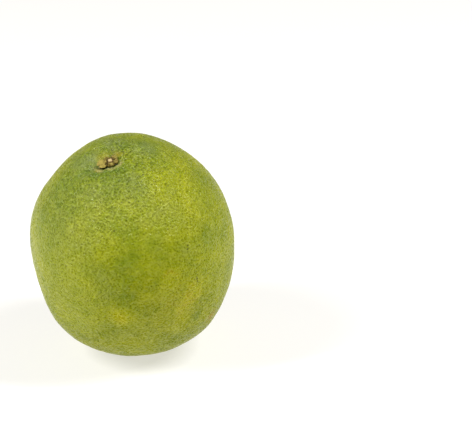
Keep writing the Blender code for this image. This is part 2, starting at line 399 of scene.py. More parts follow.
class ButtonForm(PropertyGroup):
    """Sizes and colours of the calyx and of the stalk's snapped end."""

    stalk_radius: length_of("Stalk radius", 0.0009, "Radius of the stalk")
    stalk_clearance: length_of("Stalk clearance", 0.00012, "Gap between the stalk and the calyx round it")
    stalk_height: length_of("Stalk height", 0.0004, "How far the stalk stands over the calyx's disc")
    stalk_taper: number_of("Stalk taper", 0.12, "How much narrower the stalk is at its top, as a share")
    stalk_break: length_of("Break height", 0.00022, "Unevenness of the snapped end")
    calyx_radius: length_of("Calyx radius", 0.0021, "Radius of the calyx between its sepals")
    calyx_thickness: length_of("Calyx thickness", 0.0007, "Thickness of the calyx")
    edge_share: number_of("Edge share", 0.45, "Thickness of the calyx at its edge, as a share")
    edge_fray: number_of("Edge fray", 0.12, "Unevenness of the calyx's outline, as a share")
    fray_size: length_of("Fray size", 0.0012, "Size of that unevenness")
    rim_height: length_of("Rim height", 0.0003, "Height of the rim round the stalk")
    rim_radius: length_of("Rim radius", 0.0015, "Radius of that rim")
    rim_width: length_of("Rim width", 0.0006, "Spread of that rim")
    fold_size: length_of("Fold size", 0.0013, "Size of the crumpled folds")
    fold_height: length_of("Fold height", 0.00050, "Height of the crumpled folds")
    crinkle_size: length_of("Crinkle size", 0.0006, "Size of the fine crinkles")
    crinkle_depth: length_of("Crinkle depth", 0.00018, "Depth of the fine crinkles")
    notch_at: angle_of("Notch", 205.0, "Azimuth of the notch in the longest sepal")
    notch_width: angle_of("Notch width", 5.0, "Spread of that notch")
    notch_depth: length_of("Notch depth", 0.0006, "Depth of that notch")
    paper_grain: length_of("Paper grain", 0.0005, "Size of the fibres of the dried calyx")
    wood_grain: length_of("Wood grain", 0.0003, "Size of the fibres of the stalk")
    tan: colour_of("Tan", "#9a8b40", "Smooth dry sepal")
    brown: colour_of("Brown", "#6a5a1e", "Crinkled dry calyx")
    olive: colour_of("Olive", "#837c32", "Calyx where it is still part green")
    # Painted shade in the folds, creases and notch, and round the stalk
    dark: colour_of("Dark", "#3c2c0a", "Cracks and crevices")
    # Painted highlight on the crests of the folds
    pale: colour_of("Pale", "#a8984c", "Worn crests of the folds")
    pith: colour_of("Pith", "#b8a775", "Broken pale fibres")
    bark: colour_of("Bark", "#8a7044", "Skin of the stalk")


class StudioStage(PropertyGroup):
    """Camera, light and floor."""

    lens: number_of("Lens", 150.0, "Focal length in millimetres", "CAMERA")
    sensor: number_of("Sensor", 36.0, "Width of the sensor in millimetres", "CAMERA")
    elevation: angle_of("Elevation", 23.0, "How far down the camera looks")
    distance: length_of("Distance", 0.676, "Camera to the middle of the fruit, along the view")
    aside: length_of("Aside", 0.03565, "How far the camera stands to the right of the fruit")
    above: length_of("Above", 0.01117, "How far the camera stands above the fruit, across the view")
    floor_size: length_of("Floor size", 6.0, "Side of the floor")
    floor: colour_of("Floor", "#b0afad", "Matt paper that the fruit rests on")
    glow: colour_of("Glow", "#fefcf8", "Light that comes up through the paper")
    glow_strength: number_of("Glow strength", 0.61, "Strength of that light")
    sky_strength: number_of("Sky strength", 0.10, "Even white light from all round")
    left_power: number_of("Left light", 10.3, "Watts of the left softbox", "POWER")
    right_power: number_of("Right light", 10.0, "Watts of the right softbox", "POWER")
    softbox_width: length_of("Softbox width", 0.20, "Width of each softbox")
    softbox_height: length_of("Softbox height", 0.55, "Height of each softbox")
    softbox_distance: length_of("Softbox distance", 1.0, "Fruit to each softbox")


def hump(distance, width):
    """A bell curve, 1 at no distance: e to the minus distance over width squared."""
    return np.exp(-((distance / width) ** 2))


def smooth(low, high, value):
    """0 below low, 1 above high, and a smooth S between them."""
    share = np.clip((value - low) / (high - low), 0.0, 1.0)
    return share * share * (3 - 2 * share)


def toward(polar, azimuth):
    """Unit vectors at angles from the stem end and azimuths round it."""
    across = np.sin(polar)
    return np.stack([across * np.cos(azimuth), across * np.sin(azimuth), np.cos(polar)], -1)


def around_axis(off_axis, azimuth, height):
    """Points at distances from the stem axis, at azimuths round it and at heights, as one list."""
    off_axis, azimuth, height = np.broadcast_arrays(off_axis, azimuth, height)
    return np.stack([off_axis * np.cos(azimuth), off_axis * np.sin(azimuth), height], -1).reshape(-1, 3)


# Where the stirring of the cell texture's numbers starts, before 4 is added for each of them
HASH_START = 0xDEADBEEF + 13


def turned(value, bits):
    """32-bit whole numbers with their bits turned left."""
    return (value << np.uint32(bits)) | (value >> np.uint32(32 - bits))


def settle(a, b, c):
    """Last stirring of three 32-bit numbers into one."""
    c = (c ^ b) - turned(b, 14)
    a = (a ^ c) - turned(c, 11)
    b = (b ^ a) - turned(a, 25)
    c = (c ^ b) - turned(b, 16)
    a = (a ^ c) - turned(c, 4)
    b = (b ^ a) - turned(a, 14)
    return (c ^ b) - turned(b, 24)


def stir(a, b, c):
    """First stirring of three 32-bit numbers."""
    for bits in (4, 6, 8, 16, 19, 4):
        a = (a - c) ^ turned(c, bits)
        c = c + b
        a, b, c = b, c, a
    return a, b, c


def corner_draws(corners):
    """Three even draws from 0 to 1 for each whole-numbered corner of a lattice, as the cell texture draws
    them, so that the relief worked out here and the colour drawn there fall on the same glands: the bits
    of the corner's three numbers, and of a fourth for the second and third draw, stirred together."""
    bits = (corners.astype(np.float32) + np.float32(0)).view(np.uint32)
    x, y, z = bits[..., 0], bits[..., 1], bits[..., 2]
    seed_of_three, seed_of_four = (np.uint32(HASH_START + 4 * count) for count in (3, 4))
    draws = [settle(seed_of_three + x, seed_of_three + y, seed_of_three + z)]
    for fourth in (1.0, 2.0):
        a, b, c = stir(seed_of_four + x, seed_of_four + y, seed_of_four + z)
        draws.append(settle(a + np.float32(fourth).view(np.uint32), b, c))
    return np.stack(draws, -1) / float(0xFFFFFFFF)


def gland_distance(points, spacing, scatter):
    """Distance to the nearest gland, in cells: each cell of a lattice holds one, drawn from its corner."""
    places = points / spacing
    cells = np.floor(places)
    nearest = np.full(len(points), np.inf)
    for offset in np.ndindex(3, 3, 3):
        step = np.array(offset) - 1
        gland = step + corner_draws(cells + step) * scatter
        nearest = np.minimum(nearest, np.linalg.norm(gland - (places - cells), axis=1))
    return nearest


# Each octave of the noise starts this many cells further along
OCTAVE_SHIFT = 17.3


def noise(points, size, octaves):
    """Smooth noise of about 0 to 1: draws at the corners of a lattice, blended, and halved in size for
    each octave."""
    total = np.zeros(len(points))
    weight = 0.0
    for octave in range(octaves):
        places = points / size * 2**octave + OCTAVE_SHIFT * octave
        cells = np.floor(places)
        share = places - cells
        share = share**3 * (share * (share * 6 - 15) + 10)
        value = np.zeros(len(points))
        for offset in np.ndindex(2, 2, 2):
            corner = np.array(offset)
            nearness = np.prod(np.where(corner == 1, share, 1 - share), axis=1)
            value += nearness * corner_draws(cells + corner)[:, 0]
        total += value / 2**octave
        weight += 1 / 2**octave
    return total / weight


def unevenness(points, size, octaves):
    """The same noise, from -1 to 1."""
    return 2 * noise(points, size, octaves) - 1


def stem_end_relief(off_axis, azimuth, form, furrowed):
    """Basin and collar, each a bell curve over the distance from the axis, and where furrowed the furrows
    and fine wrinkles that run out from the stem: waves of the azimuth under bell curves."""
    height = -form.basin_depth * hump(off_axis, form.basin_width)
    height = height + form.collar_height * hump(off_axis - form.collar_radius, form.collar_width)
    if furrowed:
        wander = FURROW_WANDER * (np.sin(azimuth) + np.sin(3 * azimuth))
        groove = np.cos(0.5 * FURROWS * (azimuth + wander)) ** 4
        deeper = 1 + FURROW_UNEVENNESS * np.sin(4 * azimuth)
        reach = hump(off_axis - form.furrow_radius, form.furrow_width)
        height = height - form.furrow_depth * groove * deeper * reach
        wrinkle = np.sin(WRINKLES * azimuth + WRINKLE_BEND * np.sin(5 * azimuth) + WRINKLE_TWIST * off_axis)
        height = height - form.wrinkle_depth * wrinkle * hump(off_axis - WRINKLED_AT, WRINKLED_WIDTH)
    return height


def stem_streaks(off_axis, azimuth):
    """Painted light and shade of the fine wrinkles, as streaks that run out from the stem, strongest on its
    left, from -1 to 1.
    """
    left = STREAKED_ELSEWHERE + (1 - STREAKED_ELSEWHERE) * np.clip(-np.cos(azimuth), 0, 1) ** 2
    streak = np.sin(WRINKLES * azimuth + WRINKLE_BEND * np.sin(3 * azimuth))
    return streak * left * hump(off_axis - STREAKED_AT, STREAKED_WIDTH)


def blossom_end_relief(off_axis, form):
    """Nipple, ring groove and the pit that the style left, each a bell curve."""
    return (
        form.nipple_height * hump(off_axis, form.nipple_radius)
        - form.ring_depth * hump(off_axis - form.ring_radius, form.ring_width)
        - form.style_pit_depth * hump(off_axis, form.style_pit_radius)
    )


def rind_points(directions, form, furrowed=True):
    """Points of the upright fruit's rind, in given directions. Its radius is that of a full ellipse turned
    round the stem axis, (across / girth)^n + (along / reach)^n = 1, plus swells, ribs and end relief."""
    across = np.hypot(directions[:, 0], directions[:, 1])
    along = directions[:, 2]
    azimuth = np.arctan2(directions[:, 1], directions[:, 0])
    reach = np.where(along > 0, form.stem_reach, form.blossom_reach)
    power = form.fullness
    radius = ((across / form.girth_radius) ** power + (np.abs(along) / reach) ** power) ** (-1 / power)
    for polar, around, height, spread in SWELLS:
        angle = np.arccos(np.clip(directions @ toward(polar, around), -1, 1))
        radius = radius + height * hump(angle, spread)
    radius = radius + form.rib_height * across**2 * np.cos(SEGMENTS_INSIDE * (azimuth - FIRST_RIB_AT))
    off_axis = radius * across
    stem_end = stem_end_relief(off_axis, azimuth, form, furrowed)
    blossom_end = blossom_end_relief(off_axis, form)
    radius = radius + np.where(along > 0, stem_end, blossom_end)
    return directions * radius[:, None]


def basin_height(off_axis, azimuth, form):
    """Height of the upright fruit's rind near the stem axis, without its furrows."""
    off_axis, azimuth = np.broadcast_arrays(off_axis, azimuth)
    polar = np.arcsin(np.clip(off_axis / form.stem_reach, 0, 1))
    directions = toward(polar, azimuth).reshape(-1, 3)
    return rind_points(directions, form, furrowed=False)[:, 2].reshape(off_axis.shape)


def ball_grid(cuts):
    """Directions and outward quads of a ball: six square grids, evened out by the tangent of the angle,
    whose shared edges are the same points of one lattice round a cube."""
    steps = np.arange(cuts + 1)
    first, second = (part.ravel() for part in np.meshgrid(steps, steps, indexing="ij"))
    corner = np.arange((cuts + 1) ** 2).reshape(cuts + 1, cuts + 1)
    quads = np.stack([corner[:-1, :-1], corner[1:, :-1], corner[1:, 1:], corner[:-1, 1:]], -1).reshape(-1, 4)
    places = []
    faces = []
    for axis in range(3):
        for side in (0, cuts):
            lattice = np.empty((len(first), 3), int)
            lattice[:, axis] = side
            lattice[:, (axis + 1) % 3] = first
            lattice[:, (axis + 2) % 3] = second
            faces.append((quads if side else quads[:, ::-1]) + len(first) * len(places))
            places.append(lattice)
    lattice, shared = np.unique(np.concatenate(places), axis=0, return_inverse=True)
    directions = np.tan((2 * lattice / cuts - 1) * math.pi / 4)
    directions /= np.linalg.norm(directions, axis=1)[:, None]
    return directions, shared.ravel()[np.concatenate(faces)]


# A coarser grid that still finds the fruit's extent
FITTING_CUTS = 40


def lean(form):
    """The turn that tips the stem axis from upright to where it points at rest, as a 3 by 3 array."""
    axis = (-math.sin(form.lean_towards), math.cos(form.lean_towards), 0.0)
    return np.array(Matrix.Rotation(form.lean_angle, 3, axis))


def resting_place(form):
    """The shift from the upright fruit's middle to where it rests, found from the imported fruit's box:
    its middle from above, and its top."""
    points = rind_points(ball_grid(FITTING_CUTS)[0], form) @ lean(form).T
    low, high = (np.array(corner) for corner in FRUIT_BOX)
    shift = (low + high) / 2 - (points.max(0) + points.min(0)) / 2
    shift[2] = high[2] - points[:, 2].max()
    return shift


def settled(points, form):
    """Points of the upright fruit, leaned and shifted to where it rests."""
    return points @ lean(form).T + resting_place(form)


def patches(directions, spots):
    """Sum of soft spots, each a bell curve over the angle from its middle."""
    total = np.zeros(len(directions))
    for polar, azimuth, spread, amount in spots:
        centre = toward(math.radians(polar), math.radians(azimuth))
        angle = np.arccos(np.clip(directions @ centre, -1, 1))
        total += amount * hump(angle, math.radians(spread))
    return total


def graze_nearness(points, form):
    """1 on the faint graze and 0 away from it: nearness to a line through its corners."""
    corners = np.radians(np.array(GRAZE))
    corners = settled(rind_points(toward(corners[:, 0], corners[:, 1]), form), form)
    nearest = np.full(len(points), np.inf)
    for start, end in zip(corners[:-1], corners[1:]):
        along = end - start
        share = np.clip((points - start) @ along / (along @ along), 0, 1)
        nearest = np.minimum(nearest, np.linalg.norm(points - start - share[:, None] * along, axis=1))
    return hump(nearest, GRAZE_WIDTH)


def sepal_shape(azimuth):
    """(reach beyond the disc, lift of the edge, nearness to the longest sepal) round the calyx: each sepal
    is a cosine of the angle from its middle, to a low power where the lobe is blunt."""
    reach = lift = longest = 0.0
    for index, (middle, half, length, height, tilt, point) in enumerate(SEPALS):
        off = (azimuth - math.radians(middle) + math.pi) % (2 * math.pi) - math.pi
        off = np.clip(off / math.radians(half), -1, 1)
        share = np.cos(0.5 * math.pi * off) ** point
        reach = reach + length * share
        lift = lift + height * share * (1 + tilt * off)
        longest = longest + (index == 0) * share
    return reach, lift, longest


def new_piece(name, points, faces, material, node):
    """One smooth piece at the origin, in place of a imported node, from its points, faces and material."""
    mesh = bpy.data.meshes.new(name)
    mesh.from_pydata(points.tolist(), [], faces)
    mesh.shade_smooth()
    mesh.materials.append(material)
    piece = bpy.data.objects.new(name, mesh)
    bpy.context.scene.collection.objects.link(piece)
    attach(piece, "root")
    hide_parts(node)
    return piece


def keep_values(piece, **values):
    """Stores numbers for each point of a piece, under their names, for its material to read."""
    for name, numbers in values.items():
        attribute = piece.data.attributes.new(name, "FLOAT", "POINT")
        attribute.data.foreach_set("value", np.asarray(numbers, np.float32))


def new_material(name):
    """An empty material with its Principled shader."""
    material = bpy.data.materials.new(name)
    material.use_nodes = True
    return material, material.node_tree, material.node_tree.nodes["Principled BSDF"]


def fill_inputs(tree, node, inputs):
    """Links or sets a node's inputs."""
    for name, value in inputs.items():
        if isinstance(value, bpy.types.NodeSocket):
            tree.links.new(value, node.inputs[name])
        else:
            node.inputs[name].default_value = value


def add_node(tree, kind, inputs, output=0, **settings):
    """Adds a node with its settings and inputs, and gives one of its outputs."""
    node = tree.nodes.new("ShaderNode" + kind)
    for name, value in settings.items():
        setattr(node, name, value)
    fill_inputs(tree, node, inputs)
    return node.outputs[output]


# A Mix node's colour inputs and result, by their places
FIRST, SECOND, BLENDED = 6, 7, 2


def gland_relief(tree, place, finish):
    """(height over the bottoms of the pits, darkness of the pores), both from 0 to 1. Glands are the
    middles of cells bent by noise, and between them run thin ridges, as crooked as worm tracks. The cells
    are finer than real glands, because the crinkled rind between glands shows as pits too."""
    bend = (finish.gland_wander,) * 3
    wander = {"Vector": place, "Scale": 1 / finish.gland_spacing, "Detail": 1.0}
    wander = add_node(tree, "TexNoise", wander, "Color")
    wander = add_node(tree, "VectorMath", {0: wander, 1: (0.5, 0.5, 0.5)}, operation="SUBTRACT")
    bent = add_node(tree, "VectorMath", {0: wander, 1: bend, 2: place}, operation="MULTIPLY_ADD")
    cells = {"Vector": bent, "Scale": 1 / finish.gland_spacing, "Randomness": finish.gland_scatter}
    distance = add_node(tree, "TexVoronoi", cells, "Distance", feature="F1")
    draw = add_node(tree, "SeparateColor", {"Color": distance.node.outputs["Color"]}, "Red")
    pit = add_node(tree, "MapRange", {"Value": distance, "From Min": PIT_BOTTOM, "From Max": PIT_EDGE})
    ridge = {"Vector": place, "Scale": 1 / finish.ridge_size, "Detail": 1.0, "Roughness": 0.6}
    ridge = add_node(tree, "TexNoise", ridge)
    ridge = add_node(tree, "Math", {0: ridge, 1: 0.5}, operation="SUBTRACT")
    ridge = add_node(tree, "Math", {0: ridge}, operation="ABSOLUTE")
    ridge = add_node(tree, "MapRange", {"Value": ridge, "From Min": RIDGE_WIDTH, "From Max": 0.0})
    grit = add_node(tree, "TexNoise", {"Vector": place, "Scale": 1 / finish.grit_size, "Detail": 2.0})
    rise = 0.0
    for part, share in ((pit, PIT_SHARE), (ridge, RIDGE_SHARE), (grit, GRIT_SHARE)):
        rise = add_node(tree, "Math", {0: part, 1: share, 2: rise}, operation="MULTIPLY_ADD")
    rise = add_node(tree, "MapRange", {"Value": rise, "From Min": LOWEST_SUM, "From Max": HIGHEST_SUM})

    # Only some glands have a dark pore, partly their own darker colour and partly painted shade, and each
    # has its own darkness
    dark = add_node(tree, "MapRange", {"Value": draw, "From Min": PORELESS_SHARE, "From Max": 1.0})
    pore = {"Value": distance, "From Min": PORE_EDGE, "From Max": PORE_BOTTOM, "To Max": dark}
    return rise, add_node(tree, "MapRange", pore, interpolation_type="SMOOTHSTEP")


def layered(tree, colour, layers):
    """A colour under thin layers, each with where it lies, from 0 to 1, and its own colour."""
    for amount, tint in layers:
        colour = {0: amount, FIRST: colour, SECOND: tint}
        colour = add_node(tree, "Mix", colour, BLENDED, data_type="RGBA")
    return colour


def ripeness_colour(tree, place, finish):
    """Green that turns to yellow by the piece's ripeness, mottled in broad patches and in flecks."""
    ripe = add_node(tree, "Attribute", {}, "Fac", attribute_name="ripeness")
    mottles = ((finish.patch_size, finish.patch_strength), (finish.fleck_size, finish.fleck_strength))
    for size, strength in mottles:
        mottle = add_node(tree, "TexNoise", {"Vector": place, "Scale": 1 / size, "Detail": 3.0})
        mottle = add_node(tree, "Math", {0: mottle, 1: 0.5}, operation="SUBTRACT")
        ripe = add_node(tree, "Math", {0: mottle, 1: strength, 2: ripe}, operation="MULTIPLY_ADD")
    ramp = add_node(tree, "ValToRGB", {"Fac": ripe})
    stops = ramp.node.color_ramp.elements
    stops[0].color = finish.deep_green
    stops[1].color = finish.yellow
    stops.new(TURNING_AT).color = finish.mid_green
    stops.new(NEARLY_RIPE_AT).color = finish.yellow_green
    return ramp


def scar_mask(tree, place, form):
    """1 on the small scars and 0 elsewhere: the nearest of a few balls round points of the rind, by
    distance in object space."""
    mask = 0.0
    for polar, azimuth, radius in SCARS:
        direction = toward(math.radians(polar), math.radians(azimuth))[None, :]
        point = settled(rind_points(direction, form), form)[0].tolist()
        distance = add_node(tree, "VectorMath", {0: place, 1: point}, "Value", operation="DISTANCE")
        spot = {"Value": distance, "From Min": radius, "From Max": SCAR_CORE * radius}
        spot = add_node(tree, "MapRange", spot, interpolation_type="SMOOTHSTEP")
        mask = add_node(tree, "Math", {0: mask, 1: spot}, operation="MAXIMUM")
    return mask


def rind_material(finish, form):
    """Waxed citrus rind: oil glands under a thin wax, which show as darker pits between paler ridges, partly
    in their own colour and partly as painted shade and highlight of the relief. The green turns to yellow in
    soft patches, a grey bloom lies on parts of it, low on its left also as a painted reflection, a painted
    shadow lies under the calyx with a painted highlight just outside it, and the wax shines mostly on the
    ridges, so that the gloss is broken up into glints."""
    material, tree, shader = new_material("waxed citrus rind")
    place = add_node(tree, "TexCoord", {}, "Object")
    rise, pore = gland_relief(tree, place, finish)
    flecks = add_node(tree, "TexNoise", {"Vector": place, "Scale": 1 / finish.fleck_size, "Detail": 3.0})

    # Pits are darker and ridges paler, partly in the glands' own colour and partly as painted shade and
    # highlight of the relief, more so where the rind is pitted more; and painted light and shade streaks run
    # out from the stem
    pitting = add_node(tree, "Attribute", {}, "Fac", attribute_name="pitting")
    contrast = add_node(tree, "Math", {0: pitting, 1: finish.grain}, operation="MULTIPLY")
    shade = add_node(tree, "Math", {0: rise, 1: 0.5}, operation="SUBTRACT")
    shade = add_node(tree, "Math", {0: shade, 1: contrast, 2: 1.0}, operation="MULTIPLY_ADD")
    shade = add_node(tree, "Math", {0: pore, 1: -finish.pore, 2: shade}, operation="MULTIPLY_ADD")
    streak = add_node(tree, "Attribute", {}, "Fac", attribute_name="streak")
    shade = add_node(tree, "Math", {0: streak, 1: STREAK_STRENGTH, 2: shade}, operation="MULTIPLY_ADD")
    colour = ripeness_colour(tree, place, finish)
    colour = add_node(tree, "VectorMath", {0: colour, "Scale": shade}, operation="SCALE")

    # Thin layers over it, among them a painted shadow under the calyx and a painted highlight just outside
    # it:
    # each has its own colour, where it lies, and how far the flecks break it up
    veil = {"Value": flecks, "From Min": 0.48, "From Max": 0.66, "To Max": finish.veil}
    layers = [(add_node(tree, "MapRange", veil), finish.bloom)]
    for name, least, tint in (
        ("bloom", 0.3, finish.bloom),
        ("warmth", 0.2, finish.warm),
        ("rim", 0.7, finish.rim),
        ("covered", 1.0, finish.under),
    ):
        broken = {"Value": flecks, "From Min": 0.35, "From Max": 0.65, "To Min": least}
        amount = {0: add_node(tree, "Attribute", {}, "Fac", attribute_name=name)}
        amount[1] = add_node(tree, "MapRange", broken)
        layers.append((add_node(tree, "Math", amount, operation="MULTIPLY"), tint))
    scars = {0: scar_mask(tree, place, form), 1: SCAR_STRENGTH}
    layers.append((add_node(tree, "Math", scars, operation="MULTIPLY"), finish.scar))
    colour = layered(tree, colour, layers)

    # The wax shines most on ridges, and is a little rougher in some flecks than in others
    wax = add_node(tree, "Math", {0: pitting, 1: SHEEN_BY_PITTING, 2: -SHEEN_LESS}, operation="MULTIPLY_ADD")
    wax = {0: rise, 1: SHEEN_BY_HEIGHT, 2: wax}
    gloss = {"Value": flecks, "From Min": 0.2, "From Max": 0.8, "To Min": 0.25, "To Max": 0.34}
    fill_inputs(tree, shader, {
        "Base Color": colour,
        "Normal": add_node(tree, "Bump", {"Height": rise, "Strength": pitting, "Distance": finish.relief}),
        "Roughness": add_node(tree, "MapRange", gloss),
        "IOR": 1.43,
        "Specular IOR Level": add_node(tree, "Math", wax, operation="MULTIPLY_ADD", use_clamp=True),
        "Subsurface Weight": 0.03,
        "Subsurface Radius": (0.8, 1.0, 0.2),
        "Subsurface Scale": 0.001,
    })
    return material


def calyx_material(button):
    """Dried papery calyx: shrunk and crinkled, tan where a sepal lies smooth, brown where it is crumpled
    and olive where it is still part green, with a painted highlight on its crests and painted shade in its
    folds, creases and notch and round the stalk."""
    material, tree, shader = new_material("dried papery calyx")
    place = add_node(tree, "TexCoord", {}, "Object")
    fibres = add_node(tree, "TexNoise", {"Vector": place, "Scale": 1 / button.paper_grain, "Detail": 4.0})
    smoothness = add_node(tree, "Attribute", {}, "Fac", attribute_name="smoothness")
    paper = add_node(tree, "Math", {0: fibres, 1: 0.6, 2: smoothness}, operation="MULTIPLY_ADD")
    paper = add_node(tree, "MapRange", {"Value": paper, "From Min": 0.2, "From Max": 0.9})
    layers = [(paper, button.tan)]
    for name, tint in (("freshness", button.olive), ("crest", button.pale), ("crevice", button.dark)):
        layers.append((add_node(tree, "Attribute", {}, "Fac", attribute_name=name), tint))
    colour = layered(tree, button.brown, layers)
    bump = add_node(tree, "Bump", {"Height": fibres, "Strength": 0.6, "Distance": 0.00012})
    looks = {"Base Color": colour, "Normal": bump, "Roughness": 0.7, "Specular IOR Level": 0.2}
    fill_inputs(tree, shader, looks)
    return material


def stalk_material(button):
    """Snapped citrus wood: pale torn fibres inside a thin brown skin, dry and matt."""
    material, tree, shader = new_material("snapped citrus wood")
    place = add_node(tree, "TexCoord", {}, "Object")
    fibres = add_node(tree, "TexNoise", {"Vector": place, "Scale": 1 / button.wood_grain, "Detail": 3.0})
    skin = add_node(tree, "Attribute", {}, "Fac", attribute_name="skin")
    bark = add_node(tree, "Math", {0: fibres, 1: 0.5, 2: skin}, operation="MULTIPLY_ADD")
    bark = add_node(tree, "MapRange", {"Value": bark, "From Min": 0.35, "From Max": 1.0})
    colour = layered(tree, button.pith, [(bark, button.bark)])
    bump = add_node(tree, "Bump", {"Height": fibres, "Strength": 0.7, "Distance": 0.0001})
    looks = {"Base Color": colour, "Normal": bump, "Roughness": 0.8, "Specular IOR Level": 0.2}
    fill_inputs(tree, shader, looks)
    return material


def paper_material(stage):
    """Matt studio paper, lit from below, so that it is plain and almost white."""
    material, tree, shader = new_material("matt studio paper")
    glow = {"Emission Color": stage.glow, "Emission Strength": stage.glow_strength}
    fill_inputs(tree, shader, {"Base Color": stage.floor, "Roughness": 0.9, **glow})
    return material


class SWEETLIME_OT_rind(Operator):
    """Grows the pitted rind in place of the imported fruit"""

    bl_idname = "sweetlime.rind"
    bl_label = "Grow the rind"

    def execute(self, context):
        form = context.scene.fruit_form
        finish = context.scene.rind_finish
        directions, quads = ball_grid(finish.cuts)
        upright = rind_points(directions, form)
        off_axis = np.hypot(upright[:, 0], upright[:, 1])
        azimuth = np.arctan2(upright[:, 1], upright[:, 0])
        stem_end = directions[:, 2] > 0

        # Glands and unevenness fade out at both ends, and the socket sinks in at the stem
        points = settled(upright, form)
        pitted = smooth(finish.pitted_from, finish.pitted_fully, off_axis)
        distance = gland_distance(points, finish.gland_spacing, finish.gland_scatter)
        relief = -finish.gland_depth * smooth(DIP_EDGE, DIP_BOTTOM, distance)
        relief += finish.pebble_height * unevenness(points, finish.pebble_size, 2)
        relief += finish.wave_height * unevenness(points, finish.wave_size, 2)
        upright = upright + directions * (relief * pitted)[:, None]
        socket = smooth(form.socket_radius + form.socket_edge, form.socket_radius, off_axis)
        upright[:, 2] -= form.socket_depth * socket * stem_end

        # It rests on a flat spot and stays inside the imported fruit's box
        points = settled(upright, form)
        points = np.clip(points, *(np.array(corner) for corner in FRUIT_BOX))

        piece = new_piece("rind", points, quads.tolist(), rind_material(finish, form), "fruit")
        reach, _, _ = sepal_shape(azimuth)
        past_calyx = off_axis - context.scene.button_form.calyx_radius - reach
        # On the side that faces SHADED_SIDE the rind gets a painted shadow under the calyx and a painted
        # highlight as a pale rim just outside it
        shaded = stem_end * smooth(SHADED_PAST, SHADED_FULLY_PAST, np.cos(azimuth - SHADED_SIDE))
        ripeness = EVEN_RIPENESS - RIPENESS_SLOPE * directions[:, 0] + patches(directions, RIPE_PATCHES)
        keep_values(
            piece,
            ripeness=ripeness,
            pitting=EVEN_PITTING + patches(directions, PITTED_PATCHES),
            bloom=patches(directions, GREY_PATCHES),
            warmth=patches(directions, WARM_PATCHES) + GRAZE_STRENGTH * graze_nearness(points, form),
            streak=stem_end * stem_streaks(off_axis, azimuth),
            rim=PALE_RIM_STRENGTH * shaded * hump(past_calyx - PALE_RIM_PAST_CALYX, PALE_RIM_WIDTH),
            covered=shaded * smooth(0.0, -UNDER_CALYX_WIDTH, past_calyx),
        )
        return {"FINISHED"}


def squared(angle):
    """Cosine and sine of an angle, pushed out towards a square by a power of their sizes."""
    return tuple(np.sign(ratio) * np.abs(ratio) ** SECTION_POWER for ratio in (np.cos(angle), np.sin(angle)))


def grid_quads(around, along, looped):
    """Quads of a grid that closes round, and along too if it is looped."""
    last = along if looped else along - 1
    i, j = (part.ravel() for part in np.meshgrid(np.arange(around), np.arange(last), indexing="ij"))
    i_next, j_next = (i + 1) % around, (j + 1) % along
    return np.stack([i * along + j, i_next * along + j, i_next * along + j_next, i * along + j_next], -1)


def calyx_edge(azimuth, reach, button):
    """(distance of the calyx's edge from the axis, nearness to its notch): the disc and its sepals, frayed
    by noise and notched once."""
    fray = button.edge_fray * unevenness(around_axis(button.calyx_radius, azimuth, 0.0), button.fray_size, 2)
    notch = hump(azimuth - button.notch_at, button.notch_width)
    return (button.calyx_radius + reach) * (1 + fray[:, None]) - button.notch_depth * notch, notch


def calyx_depth(off_axis, outer, azimuth, button):
    """Thickness of the calyx, thinner by the cube of how far out it is, and the rim round the stalk."""
    rim = button.rim_height * hump(off_axis - button.rim_radius, button.rim_width)
    waves = sum(strength * np.sin(count * azimuth + start) for count, strength, start in STALK_RIM_WAVES)
    thickness = button.calyx_thickness * (1 - (1 - button.edge_share) * outer**3)
    return thickness + rim * (STALK_RIM_EVENNESS + waves)


